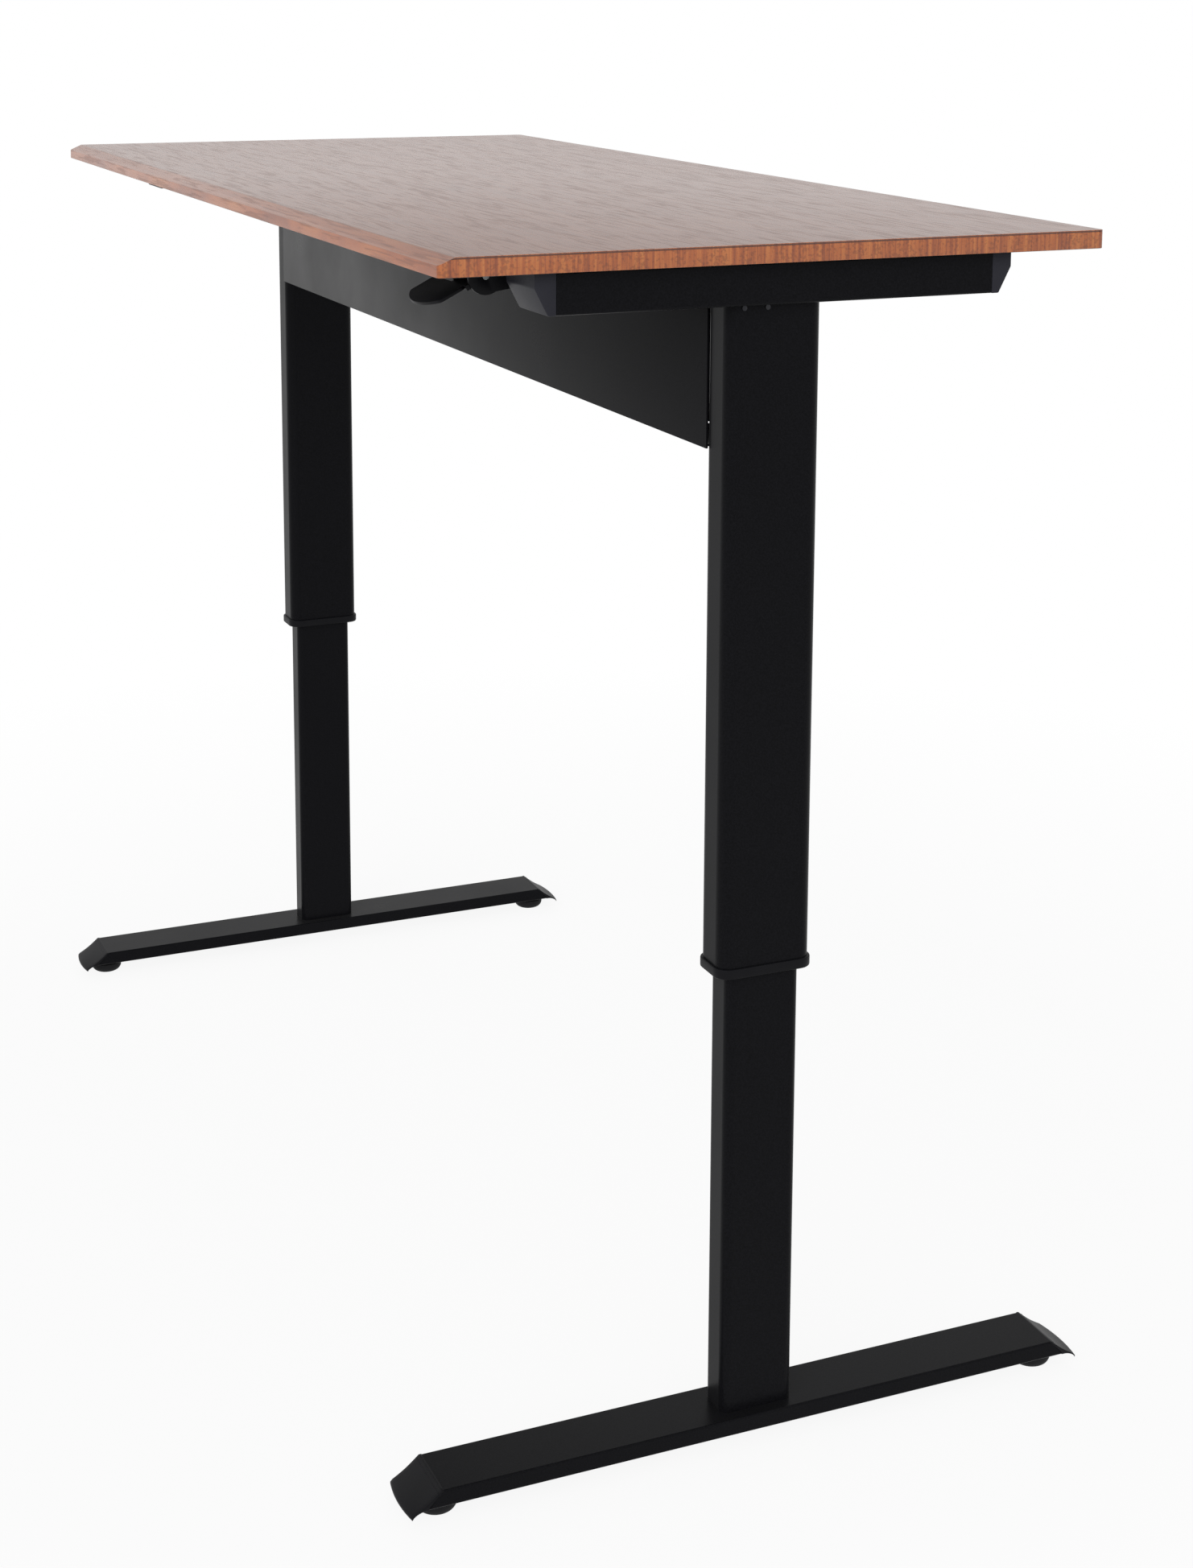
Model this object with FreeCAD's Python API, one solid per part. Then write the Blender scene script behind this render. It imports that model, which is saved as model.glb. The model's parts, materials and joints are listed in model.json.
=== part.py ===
"""Height adjustable standing desk with two telescopic columns and a release paddle.

Origin: on the floor under the middle of the desk.  +X is the user's right, -Y is the
user's side, +Z is up.  The desk is drawn fully raised.  All sizes are in millimetres.
"""
import FreeCAD
import Part
import math
import os

V = FreeCAD.Vector

# ---------------------------------------------------------------- driving dimensions
# overall
TABLE_HEIGHT = 1203.0        # top surface above the floor, raised
COLUMN_SPACING = 1432.0      # centre to centre of the two columns
LIFT_STROKE = 430.0          # how far the top comes down

# tabletop
TOP_LENGTH = 1530.0
TOP_DEPTH = 680.0
TOP_THICKNESS = 18.0
TOP_CORNER_RADIUS = 5.0
TOP_EDGE_ROUND = 1.6
BEVEL_WIDTH = 16.0           # front edge bevel, seen from above
BEVEL_DROP = 7.0             # front edge bevel, seen from the end

# support brackets under the top, running front to back
BRACKET_WIDTH = 70.0
BRACKET_HEIGHT = 40.0
BRACKET_LENGTH = 490.0       # over both end caps
BRACKET_WALL = 2.0
BRACKET_RADIUS = 3.0
CAP_LENGTH = 21.0            # visible length of a bracket end cap
CAP_UPRIGHT = 15.0           # upright part of the cap's end face
CAP_INSET = 13.0             # how far the end face slopes back
CAP_PLUG = 16.0              # plug inside the bracket tube

# columns
UPPER_X = 50.0
UPPER_Y = 98.0
UPPER_RADIUS = 13.0
LOWER_X = 40.0
LOWER_Y = 78.0
LOWER_RADIUS = 9.0
COLUMN_WALL = 2.0
LOWER_EXPOSED = 457.0        # lower tube seen between foot and collar, raised
COLUMN_OVERLAP = 150.0       # lower tube inside the collar and upper tube, raised
COLLAR_HEIGHT = 10.0
COLLAR_FLARE = 2.5
COLLAR_SLEEVE = 40.0
GUIDE_PLUG = 40.0
GUIDE_FLANGE = 6.0

# feet
FOOT_WIDTH = 66.0
FOOT_HEIGHT = 17.0
FOOT_WALL = 2.0
FOOT_RADIUS = 2.0
FOOT_TOP_LENGTH = 677.0      # flat top, between the two sloped ends
FOOT_SEAM = 2.5              # end cap seam, in from the end of the flat top
TOE_LENGTH = 29.0            # sloped end, beyond the flat top, at the corners
TOE_BULGE = 3.5              # lip's round front, seen from above
TOE_LIP = 2.4                # lip thickness
TOE_DROP = 21.5              # lip's upper edge below the foot's top
TOE_PLUG = 34.0
GLIDE_HEIGHT = 19.0          # foot underside above the floor
GLIDE_RADIUS = 21.0
GLIDE_OFFSET = 333.0         # from the column's centre line
GLIDE_PAD = 8.0              # pad thickness, under the neck
GLIDE_EDGE = 3.5             # pad's rounded lower edge
GLIDE_NECK = 5.0
GLIDE_NECK_RADIUS = 9.0      # neck's upper end
GLIDE_STUD_RADIUS = 4.0
GLIDE_STUD_TOP = 13.0        # stud above the foot's underside

# crossbeam
BEAM_HEIGHT = 140.0
BEAM_DEPTH = 45.0
BEAM_SHEET = 2.0
BEAM_LAP = 9.0               # face plate laps the front of each column
BEAM_PROUD = 0.5             # gap between face plate and column front
BEAM_LIP = 7.0               # turned-up edge of the bottom flange
HANGER_PLATE = 3.0
HANGER_DROP = 24.0           # hanger's lower edge above the beam's lower edge
HANGER_TAB = 50.0

# lift mechanism inside the columns
CYLINDER_RADIUS = 11.0
CYLINDER_WALL = 1.5
ROD_RADIUS = 4.0
SPRING_Y = 21.0              # gas spring behind the column's centre
SPINDLE_RADIUS = 6.0
SPINDLE_Y = -20.0
SPINDLE_LEAD = 50.0          # top's travel for one turn of the spindle
GEAR_RADIUS = 13.0
GEAR_FACE = 7.0              # length of the cone along its own axis
GEAR_HUB = 4.0
SHAFT_FLATS = 10.0           # hexagonal cross shaft, across flats
BEARING_PLATE = 12.0
BEARING_TOP_DROP = 47.0      # bearing plate's top face below the bracket
HEAD_PLATE = 6.0

# release paddle
PADDLE_WIDTH = 82.0
PADDLE_SHEET = 3.0
PADDLE_SLOPE = 27.0          # degrees, tip lower than the hinge
PADDLE_REACH = 47.0          # along the slope, from the hinge to the front corners
PADDLE_BULGE = 12.0          # round front edge, beyond the corners
PADDLE_CORNER = 5.0
PADDLE_EDGE_X = 655.0        # right edge of the paddle
PADDLE_HINGE_Y = -257.0
PADDLE_HINGE_DROP = 13.0     # hinge below the underside of the top
HOUSING_WIDTH = 46.0
HOUSING_BARREL = 17.0
HOUSING_REAR = 24.0
HOUSING_WALL = 2.5
HOUSING_HEEL = 14.0          # rear part's underside below the hinge
HOUSING_HEEL_SLOPE = 3.5     # underside's rise from the hinge to the rear
HOUSING_ROOF = 3.0
HOUSING_CHEEK = 3.5
HOUSING_OVERHANG = 7.0       # housing's right cheek beyond the paddle's edge
EAR_HALF = 8.0               # half the size of a screw ear
PADDLE_HUB = 7.0             # hub radius round the pin
PADDLE_NECK = 20.0           # paddle's narrow root, along the slope
PIN_RADIUS = 3.0

# fits and fasteners
FIT = 0.1                    # between fixed pieces
RUN = 0.3                    # between pieces that slide or turn
BOLT_RADIUS = 4.0
BOLT_HEAD_RADIUS = 6.5
BOLT_HEAD = 5.0
SCREW_RADIUS = 2.5
SCREW_HEAD_RADIUS = 5.0
SCREW_HEAD = 3.0
SIDE_SCREW_LENGTH = 4.5

# ---------------------------------------------------------------- derived levels
FOOT_TOP = GLIDE_HEIGHT + FOOT_HEIGHT
COLLAR_BOTTOM = FOOT_TOP + LOWER_EXPOSED
UPPER_BOTTOM = COLLAR_BOTTOM + COLLAR_HEIGHT
LOWER_TOP = COLLAR_BOTTOM + COLUMN_OVERLAP
TOP_UNDERSIDE = TABLE_HEIGHT - TOP_THICKNESS
BRACKET_BOTTOM = TOP_UNDERSIDE - BRACKET_HEIGHT
BEAM_BOTTOM = BRACKET_BOTTOM - BEAM_HEIGHT
COLUMN_X = COLUMN_SPACING / 2.0
COLUMN_INNER_X = COLUMN_X - UPPER_X / 2.0
BEAM_FACE_Y = -UPPER_Y / 2.0 - BEAM_PROUD - BEAM_SHEET
BEARING_TOP = BRACKET_BOTTOM - BEARING_TOP_DROP
BEARING_BOTTOM = BEARING_TOP - BEARING_PLATE
SHAFT_Z = BEARING_TOP + GEAR_HUB + GEAR_RADIUS + RUN
PADDLE_HINGE_Z = TOP_UNDERSIDE - PADDLE_HINGE_DROP
HOUSING_X = PADDLE_EDGE_X + HOUSING_OVERHANG - HOUSING_WIDTH / 2.0


# ---------------------------------------------------------------- shape helpers
def block(x0, x1, y0, y1, z0, z1):
    return Part.makeBox(x1 - x0, y1 - y0, z1 - z0, V(x0, y0, z0))


def post(x, y, radius, z0, z1):
    return Part.makeCylinder(radius, z1 - z0, V(x, y, z0), V(0, 0, 1))


def cross_pin(y, z, radius, x0, x1):
    return Part.makeCylinder(radius, x1 - x0, V(x0, y, z), V(1, 0, 0))


def edges_along(shape, axis):
    found = []
    for edge in shape.Edges:
        a, b = edge.Vertexes[0].Point, edge.Vertexes[-1].Point
        step = b - a
        if step.Length > 1e-6 and abs(abs(step.normalize().dot(axis)) - 1.0) < 1e-6:
            found.append(edge)
    return found


def upright(x, width, depth, radius, z0, z1):
    """Upright prism on the column's centre line with rounded corners."""
    solid = block(x - width / 2, x + width / 2, -depth / 2, depth / 2, z0, z1)
    return solid.makeFillet(radius, edges_along(solid, V(0, 0, 1)))


def upright_tube(x, width, depth, radius, wall, z0, z1):
    outer = upright(x, width, depth, radius, z0, z1)
    inner = upright(x, width - 2 * wall, depth - 2 * wall, radius - wall, z0 - 1, z1 + 1)
    return outer.cut(inner)


def level_bar(x, width, radius, y0, y1, z0, z1):
    """Bar running front to back with rounded long edges."""
    solid = block(x - width / 2, x + width / 2, y0, y1, z0, z1)
    return solid.makeFillet(radius, edges_along(solid, V(0, 1, 0)))


def side_profile(points, x0, x1):
    """Solid of a closed (y, z) outline, swept from x0 to x1."""
    ring = [V(x0, y, z) for y, z in points]
    face = Part.Face(Part.makePolygon(ring + ring[:1]))
    return face.extrude(V(x1 - x0, 0, 0))


def join(shapes):
    solid = shapes[0]
    for shape in shapes[1:]:
        solid = solid.fuse(shape)
    return solid.removeSplitter()


def rear_copy(shape):
    return shape.mirror(V(0, 0, 0), V(0, 1, 0))


def left_copy(shape):
    return shape.mirror(V(0, 0, 0), V(1, 0, 0))


# ---------------------------------------------------------------- fastener places
def top_screw_places():
    step = BRACKET_LENGTH / 2 - CAP_LENGTH - CAP_PLUG - 20
    return [(COLUMN_X + sx * 22, sy * step) for sx in (-1, 1) for sy in (-1, 1)]


def head_bolt_places():
    dx = UPPER_X / 2 - 10
    dy = UPPER_Y / 2 - 11
    return [(COLUMN_X + sx * dx, sy * dy) for sx in (-1, 1) for sy in (-1, 1)]


def foot_bolt_places():
    dx = LOWER_X / 2 - 8
    dy = LOWER_Y / 2 - 8
    return [(COLUMN_X + sx * dx, sy * dy) for sx in (-1, 1) for sy in (-1, 1)]


def side_screw_places():
    return [-UPPER_Y / 2 + 15, -UPPER_Y / 2 + 39]


def hanger_screw_places():
    z0 = BEAM_BOTTOM + HANGER_DROP + 18
    z1 = BRACKET_BOTTOM - 50
    return [(y, z) for y in (-UPPER_Y / 2 + 14, UPPER_Y / 2 - 32) for z in (z0, z1)]


def tab_screw_places():
    x = COLUMN_INNER_X - HANGER_TAB + 12
    return [(x, BEAM_FACE_Y + 14), (x, BEAM_FACE_Y + BEAM_DEPTH - 12)]


def housing_screw_places():
    y = PADDLE_HINGE_Y + HOUSING_REAR - 6
    return [(HOUSING_X + s * (HOUSING_WIDTH / 2 + 7), y) for s in (-1, 1)]


# ---------------------------------------------------------------- tabletop
def tabletop():
    hx, hy = TOP_LENGTH / 2, TOP_DEPTH / 2
    board = block(-hx, hx, -hy, hy, TOP_UNDERSIDE, TABLE_HEIGHT)
    board = board.makeFillet(TOP_CORNER_RADIUS, edges_along(board, V(0, 0, 1)))
    over = 5.0
    slope = BEVEL_DROP / BEVEL_WIDTH
    wedge = [(-hy - over, TABLE_HEIGHT - BEVEL_DROP - over * slope),
             (-hy + BEVEL_WIDTH, TABLE_HEIGHT),
             (-hy + BEVEL_WIDTH, TABLE_HEIGHT + over),
             (-hy - over, TABLE_HEIGHT + over)]
    board = board.cut(side_profile(wedge, -hx - 1, hx + 1))
    for x, y in top_screw_places():
        for sx in (-1, 1):
            board = board.cut(post(sx * x, y, SCREW_RADIUS, TOP_UNDERSIDE - 1, TOP_UNDERSIDE + 13))
    for x, y in housing_screw_places():
        board = board.cut(post(x, y, SCREW_RADIUS, TOP_UNDERSIDE - 1, TOP_UNDERSIDE + 13))
    rim = [e for e in board.Edges
           if min(v.Z for v in e.Vertexes) > TABLE_HEIGHT - 1e-6
           and e.CenterOfMass.y > -hy + BEVEL_WIDTH + 1
           and (abs(e.CenterOfMass.x) > hx - TOP_CORNER_RADIUS or e.CenterOfMass.y > hy - 6)]
    return board.makeFillet(TOP_EDGE_ROUND, rim)


# ---------------------------------------------------------------- brackets
def bracket():
    half = BRACKET_LENGTH / 2 - CAP_LENGTH
    bar = level_bar(COLUMN_X, BRACKET_WIDTH, BRACKET_RADIUS, -half, half,
                    BRACKET_BOTTOM, TOP_UNDERSIDE)
    hollow = level_bar(COLUMN_X, BRACKET_WIDTH - 2 * BRACKET_WALL, BRACKET_RADIUS - BRACKET_WALL,
                       -half - 1, half + 1, BRACKET_BOTTOM + BRACKET_WALL,
                       TOP_UNDERSIDE - BRACKET_WALL)
    bar = bar.cut(hollow)
    for x, y in top_screw_places():
        bar = bar.cut(post(x, y, SCREW_RADIUS + FIT, TOP_UNDERSIDE - 5, TOP_UNDERSIDE + 1))
        bar = bar.cut(post(x, y, SCREW_HEAD_RADIUS + 1, BRACKET_BOTTOM - 1, BRACKET_BOTTOM + 5))
    for x, y in head_bolt_places():
        bar = bar.cut(post(x, y, BOLT_RADIUS + FIT, BRACKET_BOTTOM - 1, BRACKET_BOTTOM + 5))
        bar = bar.cut(post(x, y, BOLT_HEAD_RADIUS + 1, TOP_UNDERSIDE - 5, TOP_UNDERSIDE + 1))
    return bar


def bracket_cap():
    """Front end cap of the bracket: upright face, then sloping back to the underside."""
    front = -BRACKET_LENGTH / 2
    seam = front + CAP_LENGTH
    outline = [(seam, TOP_UNDERSIDE), (front, TOP_UNDERSIDE), (front, TOP_UNDERSIDE - CAP_UPRIGHT),
               (front + CAP_INSET, BRACKET_BOTTOM), (seam, BRACKET_BOTTOM)]
    shell = side_profile(outline, COLUMN_X - BRACKET_WIDTH / 2, COLUMN_X + BRACKET_WIDTH / 2)
    soft = [e for e in edges_along(shell, V(1, 0, 0))
            if e.CenterOfMass.y < seam - 1 and e.CenterOfMass.z < TOP_UNDERSIDE - 1]
    shell = shell.makeFillet(1.5, soft)
    inset = BRACKET_WALL + FIT
    plug = level_bar(COLUMN_X, BRACKET_WIDTH - 2 * inset, BRACKET_RADIUS - BRACKET_WALL + FIT,
                     seam - 1, seam + CAP_PLUG, BRACKET_BOTTOM + inset, TOP_UNDERSIDE - inset)
    core = block(COLUMN_X - BRACKET_WIDTH / 2 + inset + 3, COLUMN_X + BRACKET_WIDTH / 2 - inset - 3,
                 seam + 2, seam + CAP_PLUG + 1, BRACKET_BOTTOM + inset + 3,
                 TOP_UNDERSIDE - inset - 3)
    return join([shell, plug.cut(core)])


# ---------------------------------------------------------------- columns, moving half
def upper_tube():
    tube = upright_tube(COLUMN_X, UPPER_X, UPPER_Y, UPPER_RADIUS, COLUMN_WALL,
                        UPPER_BOTTOM, BRACKET_BOTTOM)
    inner_x0, inner_x1 = COLUMN_INNER_X - 1, COLUMN_INNER_X + COLUMN_WALL + 1
    tube = tube.cut(cross_pin(SPINDLE_Y, SHAFT_Z, GEAR_RADIUS + 1, inner_x0, inner_x1))
    for y, z in hanger_screw_places():
        tube = tube.cut(cross_pin(y, z, SCREW_RADIUS + FIT, inner_x0, inner_x1))
    outer = COLUMN_X + UPPER_X / 2
    for y in side_screw_places():
        tube = tube.cut(cross_pin(y, BRACKET_BOTTOM - HEAD_PLATE / 2, SCREW_RADIUS / 2 + FIT,
                                  outer - COLUMN_WALL - 1, outer + 1))
    return tube


def collar():
    """Moulded bush: a rim under the upper tube and a sleeve between the two tubes."""
    rim = upright(COLUMN_X, UPPER_X + 2 * COLLAR_FLARE, UPPER_Y + 2 * COLLAR_FLARE,
                  UPPER_RADIUS + COLLAR_FLARE, COLLAR_BOTTOM, UPPER_BOTTOM)
    rim = rim.makeFillet(1.8, [e for e in rim.Edges
                               if max(v.Z for v in e.Vertexes) < COLLAR_BOTTOM + 1e-6])
    wall = COLUMN_WALL + FIT
    sleeve = upright(COLUMN_X, UPPER_X - 2 * wall, UPPER_Y - 2 * wall, UPPER_RADIUS - wall,
                     UPPER_BOTTOM - 1, UPPER_BOTTOM + COLLAR_SLEEVE)
    bore = upright(COLUMN_X, LOWER_X + 2 * RUN, LOWER_Y + 2 * RUN, LOWER_RADIUS + RUN,
                   COLLAR_BOTTOM - 1, UPPER_BOTTOM + COLLAR_SLEEVE + 1)
    return join([rim, sleeve]).cut(bore)


def head_plate():
    """Plate in the top of the upper tube, with two ears that carry the valve rocker."""
    wall = COLUMN_WALL + FIT
    z0 = BRACKET_BOTTOM - HEAD_PLATE
    plate = upright(COLUMN_X, UPPER_X - 2 * wall, UPPER_Y - 2 * wall, UPPER_RADIUS - wall,
                    z0, BRACKET_BOTTOM)
    for x, y in head_bolt_places():
        plate = plate.cut(post(x, y, BOLT_RADIUS + FIT, z0 - 1, BRACKET_BOTTOM + 1))
    for y in side_screw_places():
        plate = plate.cut(cross_pin(y, BRACKET_BOTTOM - HEAD_PLATE / 2, SCREW_RADIUS / 2 + FIT,
                                    COLUMN_X + UPPER_X / 2 - SIDE_SCREW_LENGTH - 0.5,
                                    COLUMN_X + UPPER_X / 2))
    ears = []
    for s in (-1, 1):
        x = COLUMN_X + s * 6.5
        ears.append(block(x - 1.5, x + 1.5, ROCKER_Y - 4, ROCKER_Y + 4, ROCKER_Z - 4, z0 + 1))
    plate = join([plate] + ears)
    return plate.cut(cross_pin(ROCKER_Y, ROCKER_Z, ROCKER_PIN + FIT, COLUMN_X - 9, COLUMN_X + 9))


def bearing_plate():
    wall = COLUMN_WALL + FIT
    plate = upright(COLUMN_X, UPPER_X - 2 * wall, UPPER_Y - 2 * wall, UPPER_RADIUS - wall,
                    BEARING_BOTTOM, BEARING_TOP)
    spindle_hole = post(COLUMN_X, SPINDLE_Y, SPINDLE_RADIUS + RUN, BEARING_BOTTOM - 1,
                        BEARING_TOP + 1)
    spring_hole = post(COLUMN_X, SPRING_Y, CYLINDER_RADIUS + FIT, BEARING_BOTTOM - 1,
                       BEARING_TOP + 1)
    return plate.cut(spindle_hole).cut(spring_hole)


# ---------------------------------------------------------------- columns, standing half
def lower_tube():
    return upright_tube(COLUMN_X, LOWER_X, LOWER_Y, LOWER_RADIUS, COLUMN_WALL,
                        FOOT_TOP, LOWER_TOP)


def guide_block():
    """Plug in the lower tube: guides the upper tube, and is the spindle's nut."""
    wall = COLUMN_WALL + FIT
    plug = upright(COLUMN_X, LOWER_X - 2 * wall, LOWER_Y - 2 * wall, LOWER_RADIUS - wall,
                   LOWER_TOP - GUIDE_PLUG, LOWER_TOP + 1)
    wide = COLUMN_WALL + RUN
    flange = upright(COLUMN_X, UPPER_X - 2 * wide, UPPER_Y - 2 * wide, UPPER_RADIUS - wide,
                     LOWER_TOP, LOWER_TOP + GUIDE_FLANGE)
    solid = join([plug, flange])
    low, high = LOWER_TOP - GUIDE_PLUG - 1, LOWER_TOP + GUIDE_FLANGE + 1
    solid = solid.cut(post(COLUMN_X, SPINDLE_Y, SPINDLE_RADIUS + RUN, low, high))
    return solid.cut(post(COLUMN_X, SPRING_Y, CYLINDER_RADIUS + RUN, low, high))


def base_plate():
    wall = COLUMN_WALL + FIT
    top = FOOT_TOP + 8
    plate = upright(COLUMN_X, LOWER_X - 2 * wall, LOWER_Y - 2 * wall, LOWER_RADIUS - wall,
                    FOOT_TOP, top)
    for x, y in foot_bolt_places():
        plate = plate.cut(post(x, y, BOLT_RADIUS + FIT, FOOT_TOP - 1, top + 1))
    return plate


# ---------------------------------------------------------------- feet
def foot():
    """Flat tube with ends cut on the slant."""
    low = FOOT_TOP_LENGTH / 2 - FOOT_SEAM
    bar = level_bar(COLUMN_X, FOOT_WIDTH, FOOT_RADIUS, -low - FOOT_HEIGHT, low + FOOT_HEIGHT,
                    GLIDE_HEIGHT, FOOT_TOP)
    bar = bar.cut(block(COLUMN_X - FOOT_WIDTH / 2 + FOOT_WALL, COLUMN_X + FOOT_WIDTH / 2 - FOOT_WALL,
                        -low - FOOT_HEIGHT - 1, low + FOOT_HEIGHT + 1,
                        GLIDE_HEIGHT + FOOT_WALL, FOOT_TOP - FOOT_WALL))
    wedge = [(-low + 5, FOOT_TOP + 5), (-low - FOOT_HEIGHT - 5, FOOT_TOP + 5),
             (-low - FOOT_HEIGHT - 5, GLIDE_HEIGHT - 5)]
    end = side_profile(wedge, COLUMN_X - FOOT_WIDTH, COLUMN_X + FOOT_WIDTH)
    bar = bar.cut(end).cut(rear_copy(end))
    for y in (-GLIDE_OFFSET, GLIDE_OFFSET):
        bar = bar.cut(post(COLUMN_X, y, GLIDE_STUD_RADIUS + RUN, GLIDE_HEIGHT - 1,
                           GLIDE_HEIGHT + FOOT_WALL + 1))
    for x, y in foot_bolt_places():
        bar = bar.cut(post(x, y, BOLT_RADIUS + FIT, FOOT_TOP - FOOT_WALL - 1, FOOT_TOP + 1))
        bar = bar.cut(post(x, y, BOLT_HEAD_RADIUS + 1, GLIDE_HEIGHT - 1,
                           GLIDE_HEIGHT + FOOT_WALL + 1))
    return bar


def foot_cap():
    """Front end of a foot: slopes down to a thin lip, hollow underneath."""
    corner = -FOOT_TOP_LENGTH / 2
    seam = corner + FOOT_SEAM
    tip = corner - TOE_LENGTH - TOE_BULGE
    lip_top = FOOT_TOP - TOE_DROP
    lip_bottom = lip_top - TOE_LIP
    x0 = COLUMN_X - FOOT_WIDTH / 2
    y_slant = seam - FOOT_HEIGHT
    start = V(x0, tip, lip_bottom)
    finish = V(x0, y_slant - 3, GLIDE_HEIGHT)
    middle = V(x0, tip + (finish.y - tip) * 0.42, lip_bottom + (GLIDE_HEIGHT - lip_bottom) * 0.8)
    points = [(finish.y, GLIDE_HEIGHT), (y_slant, GLIDE_HEIGHT), (seam, FOOT_TOP),
              (corner, FOOT_TOP), (tip, lip_top), (tip, lip_bottom)]
    ring = [V(x0, y, z) for y, z in points]
    lines = [Part.LineSegment(a, b).toShape() for a, b in zip(ring[:-1], ring[1:])]
    hollow = Part.Arc(start, middle, finish).toShape()
    toe = Part.Face(Part.Wire(lines + [hollow])).extrude(V(FOOT_WIDTH, 0, 0))
    # round front of the lip, seen from above
    near = V(x0, corner - TOE_LENGTH, 0)
    far = V(x0 + FOOT_WIDTH, corner - TOE_LENGTH, 0)
    front = Part.Arc(near, V(COLUMN_X, tip, 0), far).toShape()
    back = [V(x0 + FOOT_WIDTH, 0, 0), V(x0, 0, 0)]
    sides = [Part.LineSegment(far, back[0]).toShape(), Part.LineSegment(back[0], back[1]).toShape(),
             Part.LineSegment(back[1], near).toShape()]
    plan = Part.Face(Part.Wire([front] + sides)).extrude(V(0, 0, FOOT_TOP + 1))
    toe = toe.common(plan)
    inset = FOOT_WALL + FIT
    low, high = GLIDE_HEIGHT + inset, FOOT_TOP - inset
    overlap = 1.5                # plug's root, inside the sloped end
    plug_line = [(seam + TOE_PLUG, low), (seam + TOE_PLUG, high),
                 (seam - (FOOT_TOP - high) - overlap, high),
                 (seam - (FOOT_TOP - low) - overlap, low)]
    plug = side_profile(plug_line, x0 + inset, x0 + FOOT_WIDTH - inset)
    solid = join([toe, plug])
    return solid.cut(post(COLUMN_X, -GLIDE_OFFSET, GLIDE_STUD_RADIUS + RUN, GLIDE_HEIGHT - 1,
                          GLIDE_HEIGHT + GLIDE_STUD_TOP + 0.5))


def glide():
    """Levelling glide: round pad with a soft lower edge, neck and threaded stud."""
    y = -GLIDE_OFFSET
    pad = post(COLUMN_X, y, GLIDE_RADIUS, 0, GLIDE_PAD)
    pad = pad.makeFillet(GLIDE_EDGE, [e for e in pad.Edges if e.CenterOfMass.z < 1e-6])
    neck = Part.makeCone(GLIDE_RADIUS - 2, GLIDE_NECK_RADIUS, GLIDE_NECK,
                         V(COLUMN_X, y, GLIDE_PAD), V(0, 0, 1))
    stud = post(COLUMN_X, y, GLIDE_STUD_RADIUS, GLIDE_PAD + GLIDE_NECK - 1,
                GLIDE_HEIGHT + GLIDE_STUD_TOP)
    return join([pad, neck, stud])


# ---------------------------------------------------------------- crossbeam
def crossbeam():
    """Folded sheet: face plate, bottom flange with a turned-up edge, top flange."""
    half = COLUMN_INNER_X + BEAM_LAP
    inner = COLUMN_INNER_X - 1
    face = block(-half, half, BEAM_FACE_Y, BEAM_FACE_Y + BEAM_SHEET, BEAM_BOTTOM, BRACKET_BOTTOM)
    rear = BEAM_FACE_Y + BEAM_DEPTH
    bottom = block(-inner, inner, BEAM_FACE_Y, rear, BEAM_BOTTOM, BEAM_BOTTOM + BEAM_SHEET)
    lip = block(-inner, inner, rear - BEAM_SHEET, rear, BEAM_BOTTOM, BEAM_BOTTOM + BEAM_LIP)
    top = block(-inner, inner, BEAM_FACE_Y, rear, BRACKET_BOTTOM - BEAM_SHEET, BRACKET_BOTTOM)
    beam = join([face, bottom, lip, top])
    for x, y in tab_screw_places():
        for s in (-1, 1):
            beam = beam.cut(post(s * x, y, SCREW_RADIUS + FIT, BRACKET_BOTTOM - 4,
                                 BRACKET_BOTTOM + 1))
    return beam


def beam_hanger():
    """Angle that hangs the beam on the column: upright plate and a tab under the flange."""
    low = BEAM_BOTTOM + HANGER_DROP
    high = BRACKET_BOTTOM - BEAM_SHEET
    x1 = COLUMN_INNER_X
    x0 = x1 - HANGER_PLATE
    y0 = BEAM_FACE_Y + BEAM_SHEET
    plate = block(x0, x1, -UPPER_Y / 2 + 4, UPPER_Y / 2 - 20, low, high - 1)
    # the plate's upper edge stops under the beam's flange, which reaches almost to the column
    tab = block(x1 - HANGER_TAB, x1, y0, BEAM_FACE_Y + BEAM_DEPTH - 2, high - HANGER_PLATE, high)
    hanger = join([plate, tab])
    hanger = hanger.cut(cross_pin(SPINDLE_Y, SHAFT_Z, BUSH_RADIUS + FIT, x0 - 1, x1 + 1))
    for y, z in hanger_screw_places():
        hanger = hanger.cut(cross_pin(y, z, SCREW_RADIUS + FIT, x0 - 1, x1 + 1))
    for x, y in tab_screw_places():
        hanger = hanger.cut(post(x, y, SCREW_RADIUS + FIT, high - 6, high + 1))
    return hanger


# ---------------------------------------------------------------- lift mechanism
ROCKER_Z = BRACKET_BOTTOM - HEAD_PLATE - 9.0     # rocker's pin
ROCKER_Y = SPRING_Y + 12.0
ROCKER_PIN = 2.0
ROCKER_SHEET = 4.0
VALVE_RADIUS = 1.5
VALVE_GAP = 0.5
VALVE_TOP = ROCKER_Z - ROCKER_SHEET / 2 - VALVE_GAP
CYLINDER_TOP = VALVE_TOP - 8.0
CYLINDER_BOTTOM = CYLINDER_TOP - LIFT_STROKE - 70.0
ROD_TOP = CYLINDER_BOTTOM + 20.0
BUSH_RADIUS = 9.0


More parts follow.
